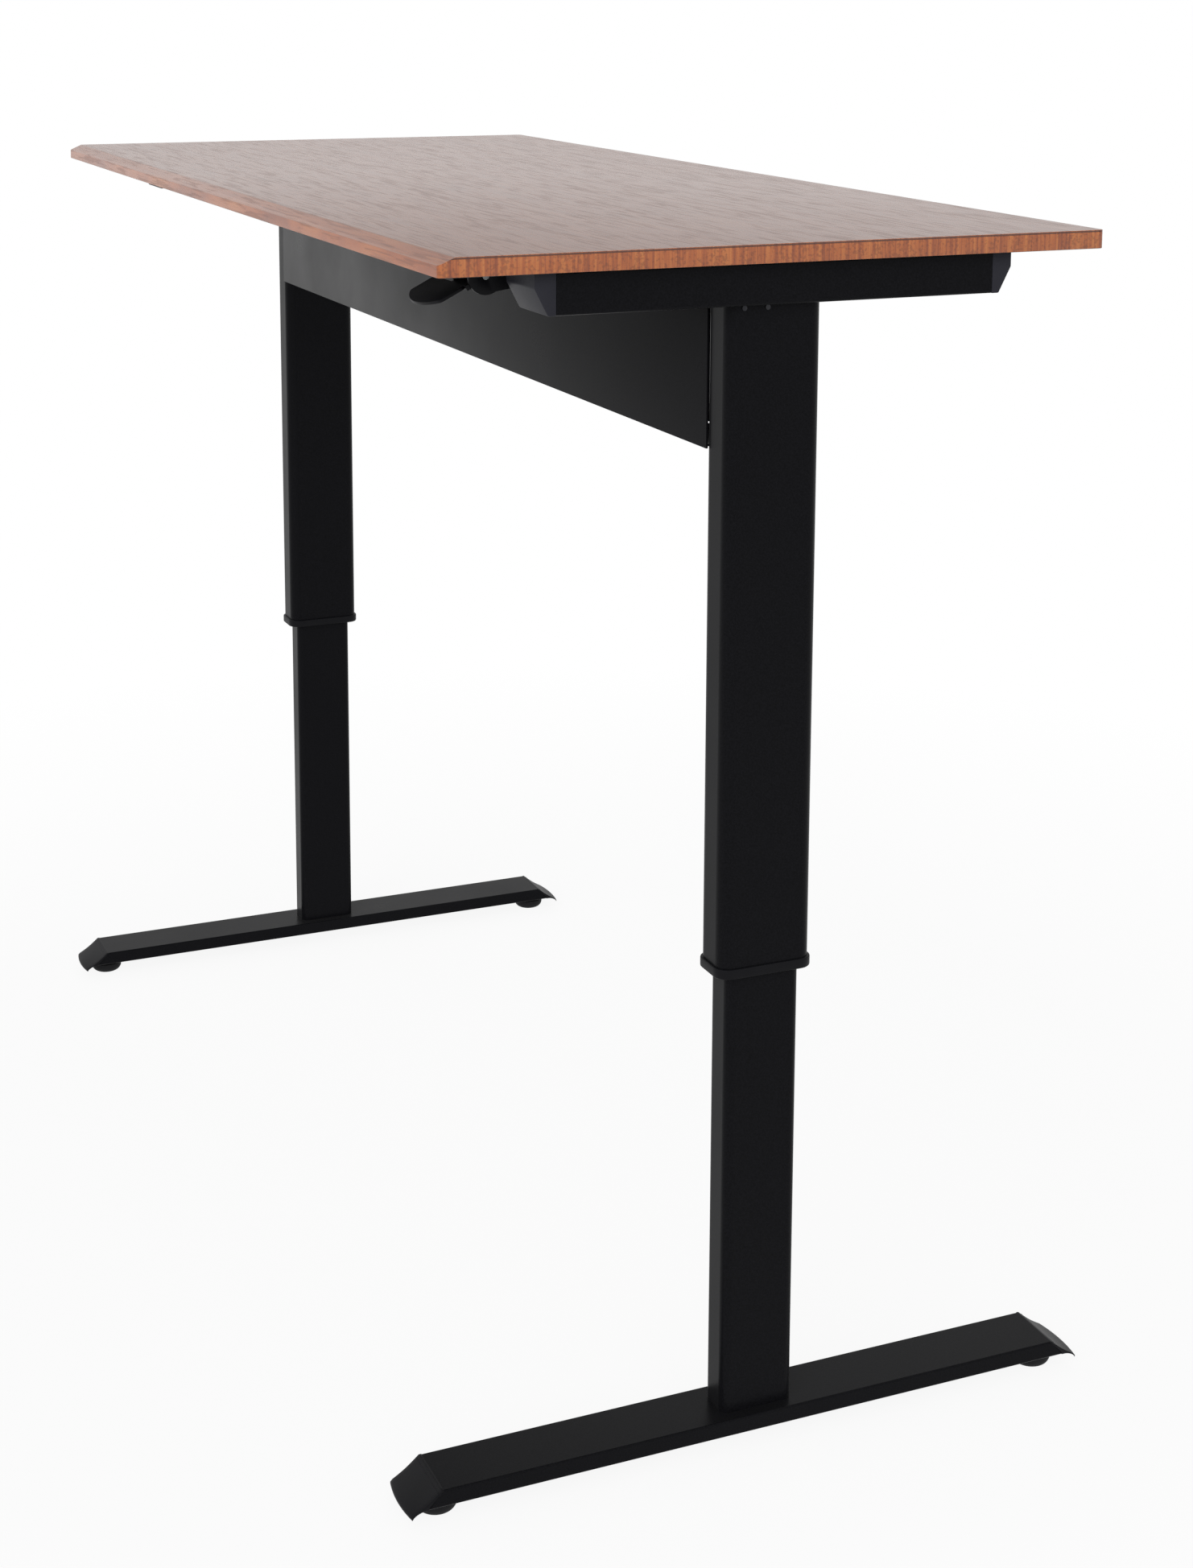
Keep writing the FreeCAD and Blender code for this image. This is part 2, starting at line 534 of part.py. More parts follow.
def gas_cylinder():
    bore = CYLINDER_RADIUS - CYLINDER_WALL
    body = post(COLUMN_X, SPRING_Y, CYLINDER_RADIUS, CYLINDER_BOTTOM, CYLINDER_TOP)
    body = body.cut(post(COLUMN_X, SPRING_Y, bore, CYLINDER_BOTTOM + 8, CYLINDER_TOP - 10))
    body = body.cut(post(COLUMN_X, SPRING_Y, ROD_RADIUS + RUN, CYLINDER_BOTTOM - 1,
                         CYLINDER_BOTTOM + 9))
    body = body.cut(post(COLUMN_X, SPRING_Y, VALVE_RADIUS + RUN, CYLINDER_TOP - 7,
                         CYLINDER_TOP + 1))
    shoulder = post(COLUMN_X, SPRING_Y, CYLINDER_RADIUS + 3, BEARING_BOTTOM - 2.5, BEARING_BOTTOM)
    shoulder = shoulder.cut(post(COLUMN_X, SPRING_Y, bore + 1, BEARING_BOTTOM - 4,
                                 BEARING_BOTTOM + 1))
    return join([body, shoulder])


def gas_rod():
    rod = post(COLUMN_X, SPRING_Y, ROD_RADIUS, FOOT_TOP + 8, ROD_TOP)
    piston = post(COLUMN_X, SPRING_Y, CYLINDER_RADIUS - CYLINDER_WALL - RUN, ROD_TOP - 8, ROD_TOP)
    end = post(COLUMN_X, SPRING_Y, 8, FOOT_TOP + 8, FOOT_TOP + 14)
    return join([rod, piston, end])


def valve_pin():
    pin = post(COLUMN_X, SPRING_Y, VALVE_RADIUS, CYLINDER_TOP - 4, VALVE_TOP)
    return pin.makeFillet(0.6, [e for e in pin.Edges if e.CenterOfMass.z > VALVE_TOP - 0.01])


def valve_rocker():
    bar = block(COLUMN_X - 4.5, COLUMN_X + 4.5, ROCKER_Y - 30, ROCKER_Y,
                ROCKER_Z - ROCKER_SHEET / 2, ROCKER_Z + ROCKER_SHEET / 2)
    boss = cross_pin(ROCKER_Y, ROCKER_Z, 4, COLUMN_X - 4.5, COLUMN_X + 4.5)
    rocker = join([bar, boss])
    slot = post(COLUMN_X, ROCKER_Y - 26, 1.2, ROCKER_Z - 5, ROCKER_Z + 5)
    return rocker.cut(slot).cut(cross_pin(ROCKER_Y, ROCKER_Z, ROCKER_PIN + 0.08,
                                          COLUMN_X - 6, COLUMN_X + 6))


def rocker_pin():
    return cross_pin(ROCKER_Y, ROCKER_Z, ROCKER_PIN, COLUMN_X - 8, COLUMN_X + 8)


def spindle():
    """Steep-pitch lifting screw, shown at its outer diameter."""
    return post(COLUMN_X, SPINDLE_Y, SPINDLE_RADIUS, CYLINDER_BOTTOM, BEARING_TOP + GEAR_HUB)


def bevel_gear(apex, axis):
    """45 degree bevel gear at its pitch cone, with its hub away from the apex."""
    back = GEAR_RADIUS
    small = GEAR_RADIUS - GEAR_FACE
    base = apex - axis * (back + RUN)
    cone = Part.makeCone(GEAR_RADIUS, small, GEAR_FACE, base, axis)
    hub = Part.makeCylinder(GEAR_RADIUS, GEAR_HUB, base - axis * GEAR_HUB, axis)
    return join([cone, hub])


def spindle_gear():
    gear = bevel_gear(V(COLUMN_X, SPINDLE_Y, SHAFT_Z), V(0, 0, 1))
    bore = post(COLUMN_X, SPINDLE_Y, SPINDLE_RADIUS + FIT, BEARING_TOP - 1, BEARING_TOP + GEAR_HUB)
    return gear.cut(bore)


def hexagon_bar(x0, x1, flats):
    reach = flats / math.sqrt(3.0)
    ring = [V(x0, SPINDLE_Y + reach * math.cos(math.radians(60 * k)),
              SHAFT_Z + reach * math.sin(math.radians(60 * k))) for k in range(6)]
    return Part.Face(Part.makePolygon(ring + ring[:1])).extrude(V(x1 - x0, 0, 0))


def shaft_end():
    """Where the cross shaft ends, inside the shaft gear."""
    return COLUMN_X - GEAR_RADIUS - RUN + 1.0


def shaft_gear():
    gear = bevel_gear(V(COLUMN_X, SPINDLE_Y, SHAFT_Z), V(1, 0, 0))
    start = COLUMN_X - GEAR_RADIUS - RUN - GEAR_HUB
    return gear.cut(hexagon_bar(start - 1, shaft_end(), SHAFT_FLATS + 2 * FIT))


def cross_shaft():
    return hexagon_bar(-shaft_end(), shaft_end(), SHAFT_FLATS)


def shaft_bush():
    x0 = COLUMN_INNER_X - HANGER_PLATE - 3
    x1 = COLUMN_INNER_X - FIT
    ring = cross_pin(SPINDLE_Y, SHAFT_Z, BUSH_RADIUS, x0, x1)
    rim = cross_pin(SPINDLE_Y, SHAFT_Z, BUSH_RADIUS + 2, x0 - 1, COLUMN_INNER_X - HANGER_PLATE)
    bore = cross_pin(SPINDLE_Y, SHAFT_Z, SHAFT_FLATS / math.sqrt(3.0) + RUN, x0 - 2, x1 + 1)
    return join([ring, rim]).cut(bore)


# ---------------------------------------------------------------- release paddle
def lever_housing():
    """Moulded bracket under the top: two cheeks joined by a roof, with screw ears."""
    y0, z0 = PADDLE_HINGE_Y, PADDLE_HINGE_Z
    x0, x1 = HOUSING_X - HOUSING_WIDTH / 2, HOUSING_X + HOUSING_WIDTH / 2
    barrel = cross_pin(y0, z0, HOUSING_BARREL, x0, x1)
    heel_z = z0 - HOUSING_HEEL
    heel = [(y0, heel_z - 1.5), (y0 + HOUSING_REAR, heel_z - 1.5 + HOUSING_HEEL_SLOPE),
            (y0 + HOUSING_REAR - 4, TOP_UNDERSIDE), (y0, TOP_UNDERSIDE)]
    rear = side_profile(heel, x0, x1)
    roof_z = TOP_UNDERSIDE - HOUSING_ROOF
    roof = block(x0, x1, y0 - HOUSING_BARREL, y0 + HOUSING_REAR, roof_z, TOP_UNDERSIDE)
    solid = join([barrel, rear, roof])
    solid = solid.cut(block(x0 - 1, x1 + 1, y0 - 60, y0 + 60, TOP_UNDERSIDE, TOP_UNDERSIDE + 20))
    inside = HOUSING_BARREL - HOUSING_WALL
    room = cross_pin(y0, z0, inside, x0 + HOUSING_CHEEK, x1 - HOUSING_CHEEK)
    mouth = block(x0 + HOUSING_CHEEK, x1 - HOUSING_CHEEK, y0 - 40, y0, z0 - 40, z0 + 6)
    solid = solid.cut(room).cut(mouth)
    ears = []
    for x, y in housing_screw_places():
        ears.append(block(x - EAR_HALF, x + EAR_HALF, y - EAR_HALF, y + EAR_HALF - 2,
                          roof_z, TOP_UNDERSIDE))
    solid = join([solid] + ears)
    for x, y in housing_screw_places():
        solid = solid.cut(post(x, y, SCREW_RADIUS + FIT, roof_z - 1, TOP_UNDERSIDE + 1))
    return solid.cut(cross_pin(y0, z0, PIN_RADIUS + FIT, x0 - 1, x1 + 1))


def paddle_pin():
    x0, x1 = HOUSING_X - HOUSING_WIDTH / 2, HOUSING_X + HOUSING_WIDTH / 2
    return cross_pin(PADDLE_HINGE_Y, PADDLE_HINGE_Z, PIN_RADIUS, x0, x1)


def release_paddle():
    """Flat tongue with a round front edge on a hinge tube, sloping down to the user."""
    half = HOUSING_WIDTH / 2 - HOUSING_CHEEK - RUN
    front = -PADDLE_REACH
    wide = PADDLE_WIDTH / 2
    low = -PADDLE_SHEET
    neck = block(-half, half, -PADDLE_NECK - 1, -PIN_RADIUS, low - 2, 0)
    centre = PADDLE_EDGE_X - wide - HOUSING_X
    left, right = centre - wide, centre + wide
    tip = Part.Arc(V(left, front, low), V(centre, front - PADDLE_BULGE, low), V(right, front, low))
    sides = [V(right, front, low), V(right, -PADDLE_NECK, low), V(left, -PADDLE_NECK, low),
             V(left, front, low)]
    edges = [Part.LineSegment(p, q).toShape() for p, q in zip(sides[:-1], sides[1:])]
    shape = Part.Face(Part.Wire([tip.toShape()] + edges)).extrude(V(0, 0, PADDLE_SHEET))
    shape = shape.makeFillet(PADDLE_CORNER, edges_along(shape, V(0, 0, 1)))
    flat = join([shape, neck])
    flat.rotate(V(0, 0, 0), V(1, 0, 0), PADDLE_SLOPE)
    flat.translate(V(HOUSING_X, PADDLE_HINGE_Y, PADDLE_HINGE_Z + 1))
    hub = cross_pin(PADDLE_HINGE_Y, PADDLE_HINGE_Z, PADDLE_HUB, HOUSING_X - half, HOUSING_X + half)
    gap = cross_pin(PADDLE_HINGE_Y, PADDLE_HINGE_Z, PADDLE_HUB + 3, HOUSING_X - 8, HOUSING_X + 8)
    bore = cross_pin(PADDLE_HINGE_Y, PADDLE_HINGE_Z, PIN_RADIUS + 0.08,
                     HOUSING_X - half - 1, HOUSING_X + half + 1)
    return join([flat, hub]).cut(gap).cut(bore)


def paddle_spring():
    """Torsion spring coiled round the hinge pin."""
    wire, turns, pitch = 0.7, 6, 2.0         # wire radius, number of turns, rise per turn
    coil = PIN_RADIUS + wire + RUN
    path = Part.makeHelix(pitch, turns * pitch, coil)
    start = Part.Wire(Part.makeCircle(wire, V(coil, 0, 0), V(0, 1, 0)))
    spring = Part.Wire(path.Edges).makePipeShell([start], True, True)
    spring.rotate(V(0, 0, 0), V(0, 1, 0), 90)
    spring.translate(V(HOUSING_X - turns * pitch / 2, PADDLE_HINGE_Y, PADDLE_HINGE_Z))
    return spring


# ---------------------------------------------------------------- fasteners
def bolt(x, y, seat, length, up):
    """Round-headed bolt; seat is where the head bears, up is the way the shank points."""
    tip = seat + up * length
    head = seat - up * BOLT_HEAD
    shank = post(x, y, BOLT_RADIUS, min(seat, tip), max(seat, tip))
    return join([shank, post(x, y, BOLT_HEAD_RADIUS, min(seat, head), max(seat, head))])


def wood_screw(x, y, seat, length):
    head = post(x, y, SCREW_HEAD_RADIUS, seat - SCREW_HEAD, seat)
    return join([head, post(x, y, SCREW_RADIUS - FIT, seat, seat + length)])


def head_bolts():
    seat = BRACKET_BOTTOM + BRACKET_WALL
    return [bolt(x, y, seat, BRACKET_WALL + HEAD_PLATE, -1) for x, y in head_bolt_places()]


def foot_bolts():
    seat = FOOT_TOP - FOOT_WALL
    return [bolt(x, y, seat, FOOT_WALL + 8, 1) for x, y in foot_bolt_places()]


def top_screws():
    seat = TOP_UNDERSIDE - BRACKET_WALL
    return [wood_screw(x, y, seat, BRACKET_WALL + 12) for x, y in top_screw_places()]


def housing_screws():
    seat = TOP_UNDERSIDE - HOUSING_ROOF
    return [wood_screw(x, y, seat, HOUSING_ROOF + 12) for x, y in housing_screw_places()]


def hanger_screws():
    """Screws through the hanger into the column, and through its tab into the beam."""
    made = []
    seat = COLUMN_INNER_X - HANGER_PLATE
    for y, z in hanger_screw_places():
        head = cross_pin(y, z, SCREW_HEAD_RADIUS, seat - SCREW_HEAD, seat)
        made.append(join([head, cross_pin(y, z, SCREW_RADIUS, seat, COLUMN_INNER_X + COLUMN_WALL)]))
    under = BRACKET_BOTTOM - BEAM_SHEET - HANGER_PLATE
    for x, y in tab_screw_places():
        head = post(x, y, SCREW_HEAD_RADIUS, under - SCREW_HEAD, under)
        made.append(join([head, post(x, y, SCREW_RADIUS, under, BRACKET_BOTTOM)]))
    return made


def side_screws():
    """Small button screws that hold the head plate through the column's outer face."""
    face = COLUMN_X + UPPER_X / 2
    z = BRACKET_BOTTOM - HEAD_PLATE / 2
    made = []
    for y in side_screw_places():
        button = cross_pin(y, z, SCREW_RADIUS, face, face + 1.2)
        shank = cross_pin(y, z, SCREW_RADIUS / 2, face - SIDE_SCREW_LENGTH, face)
        made.append(join([button, shank]))
    return made


# ---------------------------------------------------------------- write the sub-parts
def save(name, solids):
    shape = solids[0] if len(solids) == 1 else Part.makeCompound(solids)
    shape.exportStep("parts/" + name + ".step")


def both(name, shape):
    save(name + "_right", [shape])
    save(name + "_left", [left_copy(shape)])


def four(name, shape):
    both(name + "_front", shape)
    both(name + "_rear", rear_copy(shape))


def pair_set(name, solids):
    save(name, solids + [left_copy(s) for s in solids])


def main():
    os.makedirs("parts", exist_ok=True)
    save("tabletop", [tabletop()])
    both("bracket", bracket())
    four("bracket_cap", bracket_cap())
    both("upper_tube", upper_tube())
    both("collar", collar())
    both("head_plate", head_plate())
    pair_set("bearing_plates", [bearing_plate()])
    both("lower_tube", lower_tube())
    both("guide_block", guide_block())
    pair_set("base_plates", [base_plate()])
    both("foot", foot())
    four("foot_cap", foot_cap())
    four("glide", glide())
    save("crossbeam", [crossbeam()])
    both("beam_hanger", beam_hanger())
    both("gas_cylinder", gas_cylinder())
    both("gas_rod", gas_rod())
    both("valve_pin", valve_pin())
    both("valve_rocker", valve_rocker())
    pair_set("rocker_pins", [rocker_pin()])
    both("spindle", spindle())
    both("spindle_gear", spindle_gear())
    both("shaft_gear", shaft_gear())
    save("cross_shaft", [cross_shaft()])
    pair_set("shaft_bushes", [shaft_bush()])
    save("lever_housing", [lever_housing()])
    save("paddle_pin", [paddle_pin()])
    save("paddle_spring", [paddle_spring()])
    save("release_paddle", [release_paddle()])
    pair_set("head_bolts", head_bolts())
    pair_set("foot_bolts", foot_bolts())
    pair_set("top_screws", top_screws())
    pair_set("hanger_screws", hanger_screws())
    pair_set("side_screws", side_screws())
    save("housing_screws", housing_screws())


main()
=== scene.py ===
"""Height adjustable standing desk: finishes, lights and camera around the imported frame."""

import json
import math

import bmesh
import bpy
from mathutils import Matrix, Vector


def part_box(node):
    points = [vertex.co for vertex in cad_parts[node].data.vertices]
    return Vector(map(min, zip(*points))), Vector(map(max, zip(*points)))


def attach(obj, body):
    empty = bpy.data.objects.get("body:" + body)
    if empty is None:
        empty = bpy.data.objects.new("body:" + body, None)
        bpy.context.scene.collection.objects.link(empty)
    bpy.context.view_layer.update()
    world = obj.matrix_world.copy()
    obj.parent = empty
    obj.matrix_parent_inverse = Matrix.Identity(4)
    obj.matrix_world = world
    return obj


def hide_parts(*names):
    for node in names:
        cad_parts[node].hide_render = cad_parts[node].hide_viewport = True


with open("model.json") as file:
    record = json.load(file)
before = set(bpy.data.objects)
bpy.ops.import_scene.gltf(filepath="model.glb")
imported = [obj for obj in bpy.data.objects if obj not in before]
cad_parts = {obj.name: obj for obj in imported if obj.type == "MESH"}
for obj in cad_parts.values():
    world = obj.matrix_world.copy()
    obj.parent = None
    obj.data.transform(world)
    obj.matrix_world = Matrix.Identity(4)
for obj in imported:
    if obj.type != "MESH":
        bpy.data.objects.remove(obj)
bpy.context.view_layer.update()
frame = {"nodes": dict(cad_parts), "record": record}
MM = 0.001
NEAR = 1e-5          # places closer than this, in metres, are the same place


# ------------------------------------------------------------------ small helpers
def colour(hex_code):
    """sRGB hex to the linear colour that the shader works in."""
    parts = [int(hex_code[i:i + 2], 16) / 255 for i in (1, 3, 5)]
    linear = [p / 12.92 if p <= 0.04045 else ((p + 0.055) / 1.055) ** 2.4 for p in parts]
    return (*linear, 1.0)


def add_node(tree, kind, links=None, values=None, stops=(), **settings):
    """Adds a node with its settings, constant inputs and colour stops. A link comes from a
    socket, or from the first output of a node."""
    node = tree.nodes.new(kind)
    for key, value in settings.items():
        setattr(node, key, value)
    for key, value in (values or {}).items():
        node.inputs[key].default_value = value
    for key, source in (links or {}).items():
        socket = source.outputs[0] if isinstance(source, bpy.types.Node) else source
        tree.links.new(socket, node.inputs[key])
    for _ in stops[2:]:
        node.color_ramp.elements.new(0.5)
    for number, (position, hex_code) in enumerate(stops):
        node.color_ramp.elements[number].position = position
        node.color_ramp.elements[number].color = colour(hex_code)
    return node


def new_material(name):
    """Empty node material, its tree and the coordinates of the piece that wears it."""
    material = bpy.data.materials.new(name)
    material.use_nodes = True
    tree = material.node_tree
    tree.nodes.clear()
    return material, tree, add_node(tree, "ShaderNodeTexCoord").outputs["Object"]


# ------------------------------------------------------------------ finishes
def powder_coat():
    """Black polyester powder coat, sprayed and baked: a fine dry orange peel, dull when seen
    face on and silvery only at a glancing angle."""
    material, tree, place = new_material("powder_coat_black")
    # peel 1.4 mm across, coarser than real so that it shows, and clouding 90 mm across
    peel = add_node(tree, "ShaderNodeTexNoise", {"Vector": place}, {"Scale": 1 / (1.4 * MM)})
    cloud = add_node(tree, "ShaderNodeTexNoise", {"Vector": place},
                     {"Scale": 1 / (90.0 * MM), "Detail": 3.0})
    shade = add_node(tree, "ShaderNodeValToRGB", {"Fac": peel},
                     stops=[(0.32, "#0b0b0d"), (0.68, "#131316")])
    dullness = add_node(tree, "ShaderNodeMapRange", {"Value": cloud},
                        {"From Min": 0.3, "From Max": 0.7, "To Min": 0.27, "To Max": 0.34})
    relief = add_node(tree, "ShaderNodeBump", {"Height": peel},
                      {"Strength": 0.35, "Distance": 0.06 * MM})
    shader = add_node(tree, "ShaderNodeBsdfPrincipled",
                      {"Base Color": shade, "Roughness": dullness, "Normal": relief},
                      {"Specular IOR Level": 0.045, "Sheen Weight": 0.045, "Sheen Roughness": 0.4})
    add_node(tree, "ShaderNodeOutputMaterial", {"Surface": shader})
    return material


def moulded_abs(name, dark, pale, sheen_level):
    """Injection moulded ABS: an even spark-eroded grain with a soft, low sheen."""
    material, tree, place = new_material(name)
    # spark-eroded grain 0.9 mm across, coarser than real, and shade drifting over 40 mm
    grain = add_node(tree, "ShaderNodeTexNoise", {"Vector": place},
                     {"Scale": 1 / (0.9 * MM), "Detail": 1.0})
    cloud = add_node(tree, "ShaderNodeTexNoise", {"Vector": place}, {"Scale": 1 / (40.0 * MM)})
    shade = add_node(tree, "ShaderNodeValToRGB", {"Fac": cloud}, stops=[(0.3, dark), (0.7, pale)])
    dullness = add_node(tree, "ShaderNodeMapRange", {"Value": grain},
                        {"To Min": 0.38, "To Max": 0.48})
    relief = add_node(tree, "ShaderNodeBump", {"Height": grain},
                      {"Strength": 0.4, "Distance": 0.04 * MM})
    shader = add_node(tree, "ShaderNodeBsdfPrincipled",
                      {"Base Color": shade, "Roughness": dullness, "Normal": relief},
                      {"Specular IOR Level": sheen_level})
    add_node(tree, "ShaderNodeOutputMaterial", {"Surface": shader})
    return material


def glide_rubber():
    """Moulded black rubber of the floor pads: dull, with a faint dusty bloom."""
    material, tree, place = new_material("rubber_moulded_black")
    # bloom in patches of 6 mm over a moulded grain of 1.2 mm
    bloom = add_node(tree, "ShaderNodeTexNoise", {"Vector": place},
                     {"Scale": 1 / (6.0 * MM), "Detail": 3.0})
    grain = add_node(tree, "ShaderNodeTexNoise", {"Vector": place}, {"Scale": 1 / (1.2 * MM)})
    shade = add_node(tree, "ShaderNodeValToRGB", {"Fac": bloom},
                     stops=[(0.35, "#0f0f11"), (0.75, "#19191b")])
    dullness = add_node(tree, "ShaderNodeMapRange", {"Value": bloom},
                        {"To Min": 0.6, "To Max": 0.72})
    relief = add_node(tree, "ShaderNodeBump", {"Height": grain},
                      {"Strength": 0.4, "Distance": 0.05 * MM})
    shader = add_node(tree, "ShaderNodeBsdfPrincipled",
                      {"Base Color": shade, "Roughness": dullness, "Normal": relief},
                      {"Specular IOR Level": 0.2})
    add_node(tree, "ShaderNodeOutputMaterial", {"Surface": shader})
    return material


def plated_steel(name, dark, pale):
    """Plated steel, turned: metal with fine rings across its length."""
    material, tree, place = new_material(name)
    # turning marks 0.8 mm apart, level, and plating that clouds over 12 mm
    turned = add_node(tree, "ShaderNodeMapping", {"Vector": place}, {"Scale": (0.05, 0.05, 1.0)})
    rings = add_node(tree, "ShaderNodeTexNoise", {"Vector": turned}, {"Scale": 1 / (0.8 * MM)})
    cloud = add_node(tree, "ShaderNodeTexNoise", {"Vector": place}, {"Scale": 1 / (12.0 * MM)})
    shade = add_node(tree, "ShaderNodeValToRGB", {"Fac": cloud}, stops=[(0.3, dark), (0.7, pale)])
    dullness = add_node(tree, "ShaderNodeMapRange", {"Value": rings},
                        {"To Min": 0.26, "To Max": 0.42})
    relief = add_node(tree, "ShaderNodeBump", {"Height": rings},
                      {"Strength": 0.3, "Distance": 0.02 * MM})
    shader = add_node(tree, "ShaderNodeBsdfPrincipled",
                      {"Base Color": shade, "Roughness": dullness, "Normal": relief},
                      {"Metallic": 1.0})
    add_node(tree, "ShaderNodeOutputMaterial", {"Surface": shader})
    return material


def enamel_black():
    """Gloss black enamel of the gas springs, sprayed over drawn tube."""
    material, tree, place = new_material("enamel_gloss_black")
    # shade drifting over 25 mm and a slight ripple of 3 mm
    cloud = add_node(tree, "ShaderNodeTexNoise", {"Vector": place}, {"Scale": 1 / (25.0 * MM)})
    ripple = add_node(tree, "ShaderNodeTexNoise", {"Vector": place}, {"Scale": 1 / (3.0 * MM)})
    shade = add_node(tree, "ShaderNodeValToRGB", {"Fac": cloud},
                     stops=[(0.3, "#0d0d0f"), (0.7, "#121214")])
    dullness = add_node(tree, "ShaderNodeMapRange", {"Value": cloud},
                        {"To Min": 0.16, "To Max": 0.24})
    relief = add_node(tree, "ShaderNodeBump", {"Height": ripple},
                      {"Strength": 0.2, "Distance": 0.03 * MM})
    shader = add_node(tree, "ShaderNodeBsdfPrincipled",
                      {"Base Color": shade, "Roughness": dullness, "Normal": relief})
    add_node(tree, "ShaderNodeOutputMaterial", {"Surface": shader})
    return material


def wood_laminate():
    """Satin printed wood-grain laminate. Flame figure runs along the length of the top, with
    fine fibre streaks and open-pore ticks pressed into it; on the ends the streaks stand
    upright. Painted shade darkens the groove under the top skin on the ends, a painted
    sheen greys the top and the slope, and the back is plain near-black."""
    low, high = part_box("tabletop")
    skin, groove_shade_foot, slope_foot = 0.5 * MM, 2.1 * MM, 7.2 * MM
    end_banding, underside_depth = 1.5 * MM, 0.3 * MM
    material, tree, place = new_material("laminate_satin_woodgrain")
    split = add_node(tree, "ShaderNodeSeparateXYZ", {"Vector": place}).outputs

    # flames: rings that repeat every 56 mm across the top, and are crowded closer in places by a
    # warp that is drawn out along the grain
    drawn_out = add_node(tree, "ShaderNodeMapping", {"Vector": place}, {"Scale": (0.13, 1.0, 0.08)})
    warp = add_node(tree, "ShaderNodeTexNoise", {"Vector": drawn_out},
                    {"Scale": 1 / (75.0 * MM), "Distortion": 0.3})
    across = add_node(tree, "ShaderNodeMath", {0: split["Y"]}, {1: 1 / (28.0 * MM)},
                      operation="MULTIPLY")
    warped = add_node(tree, "ShaderNodeMath", {0: warp, 2: across}, {1: 13.0},
                      operation="MULTIPLY_ADD")
    rings = add_node(tree, "ShaderNodeMath", {0: warped}, {1: 1.0}, operation="PINGPONG")
    # fibres and pores, drawn coarser than real so that they show; pores gather along the flames
    along_fibres = add_node(tree, "ShaderNodeMapping", {"Vector": place}, {"Scale": (0.02, 1.0, 0.04)})
    fibres = add_node(tree, "ShaderNodeTexNoise", {"Vector": along_fibres},
                      {"Scale": 1 / (3.4 * MM), "Detail": 3.0, "Roughness": 0.6})
    along_pores = add_node(tree, "ShaderNodeMapping", {"Vector": place}, {"Scale": (0.05, 1.0, 1.0)})
    pores = add_node(tree, "ShaderNodeTexNoise", {"Vector": along_pores},
                     {"Scale": 1 / (2.8 * MM), "Detail": 1.0})
    gathered = add_node(tree, "ShaderNodeMath", {0: rings, 2: pores}, {1: -0.12},
                        operation="MULTIPLY_ADD")
    pitted = add_node(tree, "ShaderNodeMapRange", {"Value": gathered},
                      {"From Min": 0.30, "From Max": 0.42, "To Min": 1.0, "To Max": 0.0})
    along_mottle = add_node(tree, "ShaderNodeMapping", {"Vector": place}, {"Scale": (0.3, 1.0, 0.3)})
    mottle = add_node(tree, "ShaderNodeTexNoise", {"Vector": along_mottle},
                      {"Scale": 1 / (160.0 * MM)})

    # where each layer shows: the ends, the top skin, the sloped edge and the underside
    out = add_node(tree, "ShaderNodeMath", {0: split["X"]}, operation="ABSOLUTE")
    inboard = add_node(tree, "ShaderNodeMath", {0: out}, {1: high.x - end_banding},
                       operation="LESS_THAN")
    at_end = add_node(tree, "ShaderNodeMath", {0: out}, {1: high.x - end_banding},
                      operation="GREATER_THAN")
    below = add_node(tree, "ShaderNodeMath", {1: split["Z"]}, {0: high.z}, operation="SUBTRACT")
    on_top = add_node(tree, "ShaderNodeMath", {0: below}, {1: skin}, operation="LESS_THAN")
    on_slope = add_node(tree, "ShaderNodeMath", {0: below}, {1: slope_foot}, operation="LESS_THAN")
    both = add_node(tree, "ShaderNodeMath", {0: on_top, 1: on_slope}, operation="ADD")
    # painted sheen: greys the top skin, and the slope half as much; the mask also picks where the top's
    # figure shows
    skin_and_painted_sheen = add_node(tree, "ShaderNodeMath", {0: both, 1: inboard}, operation="MULTIPLY")
    banding = add_node(tree, "ShaderNodeMath", {0: skin_and_painted_sheen}, {1: 0.5}, operation="LESS_THAN")
    # painted shade: a dark band on each end, lying in the groove under the top skin
    deep = add_node(tree, "ShaderNodeMath", {0: below}, {1: skin}, operation="GREATER_THAN")
    shallow = add_node(tree, "ShaderNodeMath", {0: below}, {1: groove_shade_foot}, operation="LESS_THAN")
    line = add_node(tree, "ShaderNodeMath", {0: deep, 1: shallow}, operation="MULTIPLY")
    painted_groove_shade = add_node(tree, "ShaderNodeMath", {0: at_end, 1: line}, operation="MULTIPLY")
    under = add_node(tree, "ShaderNodeMath", {0: split["Z"]}, {1: low.z + underside_depth},
                     operation="LESS_THAN")

    figure = add_node(tree, "ShaderNodeValToRGB", {"Fac": rings},
                      stops=[(0.0, "#934a1f"), (0.2, "#a25321"), (0.7, "#aa5b27"), (1.0, "#a85925")])
    streaks = add_node(tree, "ShaderNodeValToRGB", {"Fac": fibres},
                       stops=[(0.34, "#843e19"), (0.5, "#a55622"), (0.66, "#b66a30")])
    streaky = add_node(tree, "ShaderNodeMapRange", {"Value": mottle}, {"To Min": 0.4, "To Max": 0.7})
    streaky = add_node(tree, "ShaderNodeMath", {0: banding, 1: streaky}, operation="MAXIMUM")
    wood = add_node(tree, "ShaderNodeMix", {"Factor": streaky, 6: figure, 7: streaks},
                    data_type="RGBA").outputs[2]
